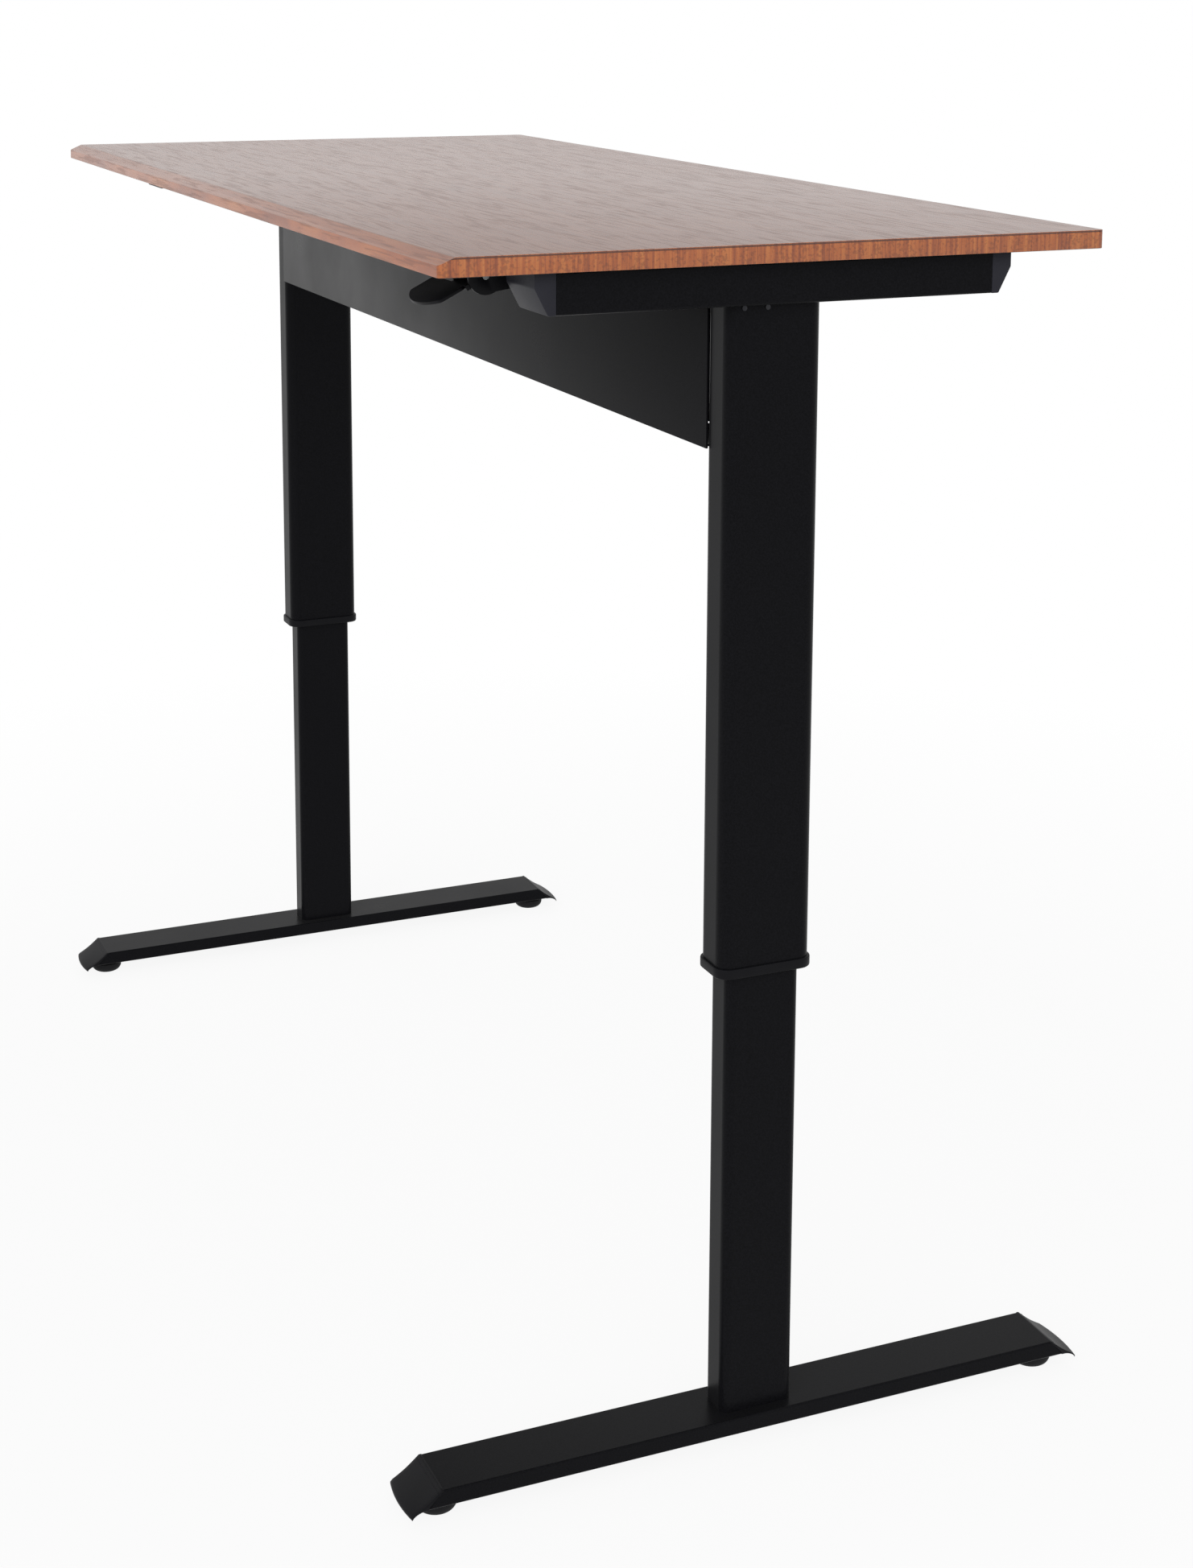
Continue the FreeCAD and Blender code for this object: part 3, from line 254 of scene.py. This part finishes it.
    # pressed pores, painted groove shade, painted sheen on top and slope, dark underside
    for where, share, stain in ((pitted, 0.4, "#5a2a14"), (painted_groove_shade, 0.85, "#4a2011"),
                                (skin_and_painted_sheen, 0.3, "#4e3d37"), (under, 1.0, "#1d1a19")):
        strength = add_node(tree, "ShaderNodeMath", {0: where}, {1: share}, operation="MULTIPLY")
        wood = add_node(tree, "ShaderNodeMix", {"Factor": strength, 6: wood}, {7: colour(stain)},
                        data_type="RGBA").outputs[2]

    # satin over the wood and dull below, with fibres raised and pores pressed in
    satin = add_node(tree, "ShaderNodeMapRange", {"Value": pitted}, {"To Min": 0.26, "To Max": 0.34})
    satin = add_node(tree, "ShaderNodeMath", {0: under, 2: satin}, {1: 0.35},
                     operation="MULTIPLY_ADD")
    raised = add_node(tree, "ShaderNodeMath", {0: fibres, 1: pitted}, operation="SUBTRACT")
    raised = add_node(tree, "ShaderNodeMath", {0: raised}, {1: 0.5}, operation="MULTIPLY")
    upper = add_node(tree, "ShaderNodeMath", {1: under}, {0: 1.0}, operation="SUBTRACT")
    raised = add_node(tree, "ShaderNodeMath", {0: raised, 1: upper}, operation="MULTIPLY")
    relief = add_node(tree, "ShaderNodeBump", {"Height": raised},
                      {"Strength": 0.15, "Distance": 0.12 * MM})
    shader = add_node(tree, "ShaderNodeBsdfPrincipled",
                      {"Base Color": wood, "Roughness": satin, "Normal": relief},
                      {"Specular IOR Level": 0.78})
    add_node(tree, "ShaderNodeOutputMaterial", {"Surface": shader})
    return material


COAT = powder_coat()
MOULDED = moulded_abs("abs_moulded_black", "#0c0c0f", "#111114", 0.10)
CHARCOAL = moulded_abs("abs_moulded_charcoal", "#2a2a30", "#2f2f35", 0.07)
RUBBER = glide_rubber()
ZINC = plated_steel("steel_zinc_plated", "#b4b5b3", "#cfd0cc")
DARK_ZINC = plated_steel("steel_black_zinc", "#2c2c2f", "#38383b")
ENAMEL = enamel_black()
LAMINATE = wood_laminate()
BY_SLOT = {"top_laminate": LAMINATE, "black_steel": COAT, "black_plastic": MOULDED,
           "zinc_steel": ZINC, "spring_black": ENAMEL, "glide_rubber": RUBBER}
# screws and bolts plated black, where the rest of the plated steel is bright
BLACK_SCREWS = ("side_screws", "housing_screws", "head_bolts", "hanger_screws")
SLOT_OF = {sub["node"]: sub["material_slot"] for sub in frame["record"]["subparts"]}
BODY_OF = {n: b for b, nodes in frame["record"]["behaviour"]["bodies"].items() for n in nodes}


def finish_cad_nodes():
    """Gives every CAD node the finish of its material slot in the record."""
    for name, slot in SLOT_OF.items():
        node = frame["nodes"][name]
        node.data.materials.clear()
        node.data.materials.append(DARK_ZINC if name in BLACK_SCREWS else BY_SLOT[slot])


# ------------------------------------------------------------------ modelling helpers
def start_piece(name):
    """Names the primitive that was just added and puts its place into its mesh."""
    piece = bpy.context.object
    piece.name = name
    piece.data.name = name
    bpy.ops.object.transform_apply(location=True, rotation=True, scale=True)
    return piece


def block(name, low, high):
    """Cube primitive with these corners."""
    bpy.ops.object.select_all(action="DESELECT")
    low, high = Vector(low), Vector(high)
    bpy.ops.mesh.primitive_cube_add(size=1.0, location=(low + high) / 2, scale=high - low)
    return start_piece(name)


def pick(piece, kind, test):
    """Edit mode on the piece with the vertices, edges or faces that pass the test selected."""
    bpy.ops.object.select_all(action="DESELECT")
    bpy.context.view_layer.objects.active = piece
    piece.select_set(True)
    bpy.ops.object.mode_set(mode="EDIT")
    bpy.ops.mesh.select_mode(type=kind)
    bpy.ops.mesh.select_all(action="DESELECT")
    shape = bmesh.from_edit_mesh(piece.data)
    chosen = {"VERT": shape.verts, "EDGE": shape.edges, "FACE": shape.faces}[kind]
    for item in [i for i in chosen if test(i)]:
        item.select_set(True)
    shape.select_flush_mode()
    bmesh.update_edit_mesh(piece.data)


def done():
    bpy.ops.object.mode_set(mode="OBJECT")


def middle(edge):
    return (edge.verts[0].co + edge.verts[1].co) / 2


def along(edge, axis):
    """Whether the edge runs along that axis."""
    return abs((edge.verts[1].co - edge.verts[0].co).normalized()[axis]) > 0.99


def cut(piece, point, normal):
    """Bisects the piece and drops what lies on the normal's side."""
    pick(piece, "FACE", lambda face: True)
    bpy.ops.mesh.bisect(plane_co=point, plane_no=normal, use_fill=True, clear_outer=True)
    done()


def score(piece, point, normal):
    """Bisects the piece and keeps both sides."""
    pick(piece, "FACE", lambda face: True)
    bpy.ops.mesh.bisect(plane_co=point, plane_no=normal)
    done()


def round_edges(piece, test, radius_mm, segments=3):
    pick(piece, "EDGE", test)
    bpy.ops.mesh.bevel(offset=radius_mm * MM, segments=segments, affect="EDGES")
    done()


def section(name, outline, x0, x1):
    """Closed (y, z) outline from a filled circle primitive, extruded from x0 to x1."""
    bpy.ops.object.select_all(action="DESELECT")
    bpy.ops.mesh.primitive_circle_add(vertices=len(outline), radius=1.0, fill_type="NGON")
    piece = start_piece(name)
    for vertex, (y, z) in zip(piece.data.vertices, outline):
        vertex.co = (x0, y, z)
    pick(piece, "FACE", lambda face: True)
    bpy.ops.mesh.extrude_region_move(TRANSFORM_OT_translate={"value": (x1 - x0, 0, 0)})
    bpy.ops.mesh.select_all(action="SELECT")
    bpy.ops.mesh.normals_make_consistent(inside=False)
    done()
    return piece


def soften(piece, radius_mm, angle=30.0, segments=3):
    """Rounds every edge sharper than the angle, then smooths the shading."""
    bevel = piece.modifiers.new("edge_rounding", "BEVEL")
    bevel.width = radius_mm * MM
    bevel.segments = segments
    bevel.limit_method = "ANGLE"
    bevel.angle_limit = math.radians(angle)
    bevel.harden_normals = False
    bpy.context.view_layer.objects.active = piece
    bpy.ops.object.modifier_apply(modifier=bevel.name)
    smooth(piece)


def smooth(piece, angle=35.0):
    bpy.ops.object.select_all(action="DESELECT")
    piece.select_set(True)
    bpy.context.view_layer.objects.active = piece
    bpy.ops.object.shade_smooth_by_angle(angle=math.radians(angle))


def joined(first, *others):
    """Joins pieces into the first one."""
    bpy.ops.object.select_all(action="DESELECT")
    for piece in (first, *others):
        piece.select_set(True)
    bpy.context.view_layer.objects.active = first
    bpy.ops.object.join()
    return first


def stand_in(piece, node, material=None):
    """The piece stands for a CAD node: it joins the node's body, wears the given finish or the finish
    of the node's slot, and hides the node.
    """
    piece.data.materials.clear()
    piece.data.materials.append(material or BY_SLOT[SLOT_OF[node]])
    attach(piece, BODY_OF[node])
    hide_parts(node)


def mirrored(piece, name, flip_x=False, flip_y=False):
    """Copy with its own mesh, mirrored through the frame's origin, faces outwards again."""
    copy = piece.copy()
    copy.data = piece.data.copy()
    copy.name = copy.data.name = name
    bpy.context.collection.objects.link(copy)
    copy.data.transform(Matrix.Diagonal((-1 if flip_x else 1, -1 if flip_y else 1, 1, 1)))
    if flip_x != flip_y:
        copy.data.flip_normals()
    return copy


def four_ways(build, stem, material=None):
    """Builds the front right piece and copies it to the other three corners."""
    first = build(f"{stem}_front_right_shape", f"{stem}_front_right")
    copies = [(first, "front_right")]
    for corner, flips in (("front_left", (True, False)), ("rear_right", (False, True)),
                          ("rear_left", (True, True))):
        copies.append((mirrored(first, f"{stem}_{corner}_shape", *flips), corner))
    for piece, corner in copies:
        stand_in(piece, f"{stem}_{corner}", material)


def two_sides(build, stem, material=None):
    """Builds the right piece and copies it to the left."""
    first = build(f"{stem}_right_shape", f"{stem}_right")
    copy = mirrored(first, f"{stem}_left_shape", flip_x=True)
    stand_in(first, f"{stem}_right", material)
    stand_in(copy, f"{stem}_left", material)


# ------------------------------------------------------------------ pieces
def tabletop():
    """Board with a long front slope, softened rims and a groove along each end."""
    low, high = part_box("tabletop")
    corner_mm, rim_mm, lower_mm, shoulder_mm = 5.0, 0.4, 0.6, 1.6
    slope_run, slope_fall = 16.0 * MM, 7.0 * MM
    groove_top, groove_foot, groove_depth = 0.6 * MM, 2.0 * MM, 0.7 * MM
    piece = block("tabletop_shape", low, high)
    round_edges(piece, lambda e: along(e, 2), corner_mm, 5)
    slope = Vector((0, -slope_fall, slope_run)).normalized()
    cut(piece, (0, low.y + slope_run, high.z), slope)
    rim = lambda e: (middle(e).z > high.z - slope_fall - 0.5 * MM and not along(e, 2)
                     and e.calc_face_angle(0) > math.radians(20))
    round_edges(piece, rim, rim_mm, 3)
    lower = lambda e: middle(e).z < low.z + NEAR and e.calc_face_angle(0) > 1.0
    round_edges(piece, lower, lower_mm, 2)
    for depth in (groove_top, groove_foot):
        score(piece, (0, 0, high.z - depth), (0, 0, 1))
    groove_z = high.z - (groove_top + groove_foot) / 2
    for side in (-1, 1):
        groove = lambda f: (f.normal.x * side > 0.99
                            and abs(f.calc_center_median().z - groove_z) < 0.3 * MM)
        pick(piece, "FACE", groove)
        bpy.ops.mesh.extrude_region_move(TRANSFORM_OT_translate={"value": (-side * groove_depth, 0, 0)})
        done()
        shoulder = lambda e: (along(e, 1) and abs(middle(e).x * side - high.x) < NEAR
                              and abs(middle(e).z - high.z + groove_foot) < NEAR)
        round_edges(piece, shoulder, shoulder_mm, 4)
    smooth(piece)
    stand_in(piece, "tabletop")


def foot_cap(name, node):
    """Moulded toe: a slightly hollow slope down to a thin rimmed lip, hollowed underneath."""
    low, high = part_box(node)
    side_lean, bulge, lip, nose = 29.0 * MM, 3.5 * MM, 2.4 * MM, 2.2 * MM
    foot_floor, flat, wall, dip = 6.9 * MM, 3.0 * MM, 2.1 * MM, 0.07
    tip, corner = low.y, low.y + side_lean + bulge
    seam = corner + flat
    drop = high.z - low.z - lip - nose
    floor_z = low.z + foot_floor
    hollow_end, floor_end = seam - 20.0 * MM, seam - 17.0 * MM
    steps = 8
    slope = []
    for i in range(steps + 1):
        t = i / steps
        fall = t + dip * math.sin(math.pi * t)
        slope.append((corner + (tip + nose - corner) * t, high.z - drop * fall))
    hollow = []
    for i in range(steps + 1):
        t = i / steps
        hollow.append((tip + (hollow_end - tip) * t,
                       low.z + (floor_z - low.z) * math.sin(t * math.pi / 2) ** 0.6))
    outline = [(seam, high.z)] + slope + [(tip, low.z + lip)] + hollow + [(floor_end, floor_z)]
    toe = section(name, outline, low.x, high.x)
    pick(toe, "EDGE", lambda e: along(e, 0))
    bpy.ops.mesh.subdivide(number_cuts=11)
    done()
    centre, half = (low.x + high.x) / 2, (high.x - low.x) / 2
    for vertex in toe.data.vertices:
        reach = max(0.0, (corner - vertex.co.y) / (corner - tip))
        vertex.co.y += bulge * ((vertex.co.x - centre) / half) ** 2 * reach
    soften(toe, 0.7, angle=28.0)
    plug = block("plug", (low.x + wall, seam - 2 * flat, floor_z + wall),
                 (high.x - wall, high.y, high.z - wall))
    return joined(toe, plug)


def bracket_cap(name, node):
    """Moulded end of a bracket: short upright face over a slope back to the underside."""
    low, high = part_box(node)
    upright, inset, length, wall = 15.0 * MM, 13.0 * MM, 21.0 * MM, 2.6 * MM
    outline = [(low.y, high.z), (low.y, high.z - upright), (low.y + inset, low.z),
               (low.y + length, low.z), (low.y + length, high.z)]
    shell = section(name, outline, low.x, high.x)
    soften(shell, 1.3, angle=25.0, segments=4)
    plug = block("plug", (low.x + wall, low.y + length - 2.0 * MM, low.z + wall),
                 (high.x - wall, high.y, high.z - wall))
    round_edges(plug, lambda e: along(e, 1), 2.0, 3)
    return joined(shell, plug)


def collar(name, node):
    """Moulded rim at the mouth of the outer tube, with its guide sleeve up inside."""
    low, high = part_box(node)
    rim_height, flare, bore, tube_wall = 10.0 * MM, 2.5 * MM, 41.0 * MM, 2.2 * MM
    rim = block(name, low, (high.x, high.y, low.z + rim_height))
    round_edges(rim, lambda e: along(e, 2), 15.0, 10)
    wall = (high.x - low.x - bore) / 2
    flat = lambda f: abs(f.normal.z) > 0.99
    pick(rim, "FACE", flat)
    bpy.ops.mesh.inset(thickness=wall, depth=0.0)
    bpy.ops.mesh.bridge_edge_loops()
    done()
    outer = lambda e: (not along(e, 2) and e.calc_face_angle(0) > 1.0 and
                       (min(abs(middle(e).x - low.x), abs(middle(e).x - high.x)) < wall * 0.9 or
                        min(abs(middle(e).y - low.y), abs(middle(e).y - high.y)) < wall * 0.9))
    round_edges(rim, outer, 1.4, 3)
    smooth(rim)
    gap = flare + tube_wall
    sleeve = block("sleeve", (low.x + gap, low.y + gap, low.z + rim_height / 2),
                   (high.x - gap, high.y - gap, high.z))
    round_edges(sleeve, lambda e: along(e, 2), 10.0, 8)
    pick(sleeve, "FACE", flat)
    bpy.ops.mesh.inset(thickness=wall - gap, depth=0.0)
    bpy.ops.mesh.bridge_edge_loops()
    done()
    smooth(sleeve)
    return joined(rim, sleeve)


def round_bar(name, x, y, radius, z0, z1, vertices=48):
    bpy.ops.object.select_all(action="DESELECT")
    bpy.ops.mesh.primitive_cylinder_add(vertices=vertices, radius=radius, depth=z1 - z0,
                                        location=(x, y, (z0 + z1) / 2))
    return start_piece(name)


def glide(name, node):
    """Levelling glide: full rubber dome turned upside down, hexagonal neck and stud."""
    low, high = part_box(node)
    x, y, radius = (low.x + high.x) / 2, (low.y + high.y) / 2, (high.x - low.x) / 2
    dome_top, neck_top, neck_radius, stud_radius = 13.5 * MM, 19.0 * MM, 8.0 * MM, 4.0 * MM
    sunk = 1.0 * MM
    dome = round_bar(name, x, y, radius, 0.0, dome_top, 64)
    round_edges(dome, lambda e: middle(e).z < NEAR, 8.5, 8)
    upper = lambda e: middle(e).z > dome_top - NEAR and e.calc_face_angle(0) > 1.0
    round_edges(dome, upper, 1.5, 3)
    neck = round_bar("neck", x, y, neck_radius, dome_top - sunk, neck_top, 6)
    soften(neck, 0.5)
    stud = round_bar("stud", x, y, stud_radius, neck_top - sunk, high.z, 24)
    soften(stud, 0.6)
    smooth(dome)
    return joined(dome, neck, stud)


def eased_copy(node, radius_mm):
    """Copy of a CAD node, merged into clean faces, with its sharp edges rounded."""
    source = frame["nodes"][node]
    piece = source.copy()
    piece.data = source.data.copy()
    piece.name = piece.data.name = f"{node}_shape"
    for key in list(piece.keys()):
        del piece[key]
    piece.parent = None
    bpy.context.collection.objects.link(piece)
    pick(piece, "VERT", lambda v: True)
    bpy.ops.mesh.remove_doubles(threshold=0.005 * MM)
    bpy.ops.mesh.dissolve_limited(angle_limit=math.radians(0.5))
    done()
    soften(piece, radius_mm, angle=38.0, segments=2)
    stand_in(piece, node)


finish_cad_nodes()
tabletop()
four_ways(foot_cap, "foot_cap")
four_ways(bracket_cap, "bracket_cap", CHARCOAL)
four_ways(glide, "glide")
two_sides(collar, "collar")
eased_copy("crossbeam", 0.8)
eased_copy("release_paddle", 0.5)
eased_copy("lever_housing", 0.5)


# ------------------------------------------------------------------ floor, lights, camera
def studio_floor():
    """White sweep. The camera, gloss and glass see mostly flat white with the desk's shadow
    laid lightly over it, and all white further out."""
    bpy.ops.object.select_all(action="DESELECT")
    # a hair under the floor pads, so that the two don't lie in one plane
    bpy.ops.mesh.primitive_plane_add(size=400.0, location=(0, 0, -0.3 * MM))
    floor = bpy.context.object
    floor.name = "studio_floor"
    material, tree, place = new_material("floor_white_matt")
    matt = add_node(tree, "ShaderNodeBsdfPrincipled", None,
                    {"Base Color": colour("#fafafa"), "Roughness": 0.9, "Specular IOR Level": 0.0})
    white = add_node(tree, "ShaderNodeEmission", None, {"Color": (1, 1, 1, 1), "Strength": 1.0})
    away = add_node(tree, "ShaderNodeVectorMath", {0: place}, operation="LENGTH")
    # metres from the middle of the desk at which the sweep starts and ends fading to white
    share = add_node(tree, "ShaderNodeMapRange", {"Value": away.outputs["Value"]},
                     {"From Min": 0.9, "From Max": 2.2, "To Min": 0.9, "To Max": 1.0})
    share = add_node(tree, "ShaderNodeMath", {0: share, 1: seen_directly(tree)},
                     operation="MULTIPLY")
    mix = add_node(tree, "ShaderNodeMixShader", {0: share, 1: matt, 2: white})
    add_node(tree, "ShaderNodeOutputMaterial", {"Surface": mix})
    floor.data.materials.append(material)


def seen_directly(tree):
    """1 for camera, glossy and transmission rays, 0 for the light that falls on things."""
    path = add_node(tree, "ShaderNodeLightPath").outputs
    either = add_node(tree, "ShaderNodeMath", {0: path["Is Camera Ray"], 1: path["Is Glossy Ray"]},
                      operation="MAXIMUM")
    return add_node(tree, "ShaderNodeMath", {0: either, 1: path["Is Transmission Ray"]},
                    operation="MAXIMUM")


def studio_world(level):
    """Plain white where it is seen or reflected; an even soft light everywhere else."""
    world = bpy.data.worlds.new("studio_world")
    bpy.context.scene.world = world
    world.use_nodes = True
    tree = world.node_tree
    tree.nodes.clear()
    strength = add_node(tree, "ShaderNodeMapRange", {"Value": seen_directly(tree)},
                        {"To Min": level, "To Max": 1.0})
    light = add_node(tree, "ShaderNodeBackground", {"Strength": strength},
                     {"Color": (1, 1, 1, 1)})
    add_node(tree, "ShaderNodeOutputWorld", {"Surface": light})


def soft_sun(name, toward, strength, angle):
    """Broad distant light that comes from that direction and leaves no glare on the top."""
    data = bpy.data.lights.new(name, "SUN")
    data.energy = strength
    data.angle = math.radians(angle)
    lamp = bpy.data.objects.new(name, data)
    lamp.visible_glossy = False
    lamp.rotation_euler = Vector(toward).to_track_quat("Z", "Y").to_euler()
    bpy.context.collection.objects.link(lamp)


def camera():
    """Standing off the right end of the desk, a little above the top."""
    data = bpy.data.cameras.new("camera")
    data.sensor_fit = "AUTO"
    data.sensor_width = 36.0
    data.lens = 57.99
    data.shift_y = -0.2433
    data.clip_end = 600.0
    eye = bpy.data.objects.new("camera", data)
    eye.location = (2.7977, -1.0670, 1.4449)
    yaw, pitch, roll = (math.radians(a) for a in (66.698, 9.663, 0.238))
    back = Vector((math.sin(yaw) * math.cos(pitch), -math.cos(yaw) * math.cos(pitch),
                   math.sin(pitch)))
    turn = back.to_track_quat("Z", "Y").to_matrix().to_4x4() @ Matrix.Rotation(roll, 4, "Z")
    eye.rotation_euler = turn.to_euler()
    bpy.context.collection.objects.link(eye)
    bpy.context.scene.camera = eye


studio_floor()
studio_world(0.5)
soft_sun("key_front_right", (0.55, -0.65, 0.42), 1.3, 40)
soft_sun("fill_right", (0.9, -0.1, 0.3), 0.5, 50)
camera()

scene = bpy.context.scene
scene.view_settings.view_transform = "Standard"
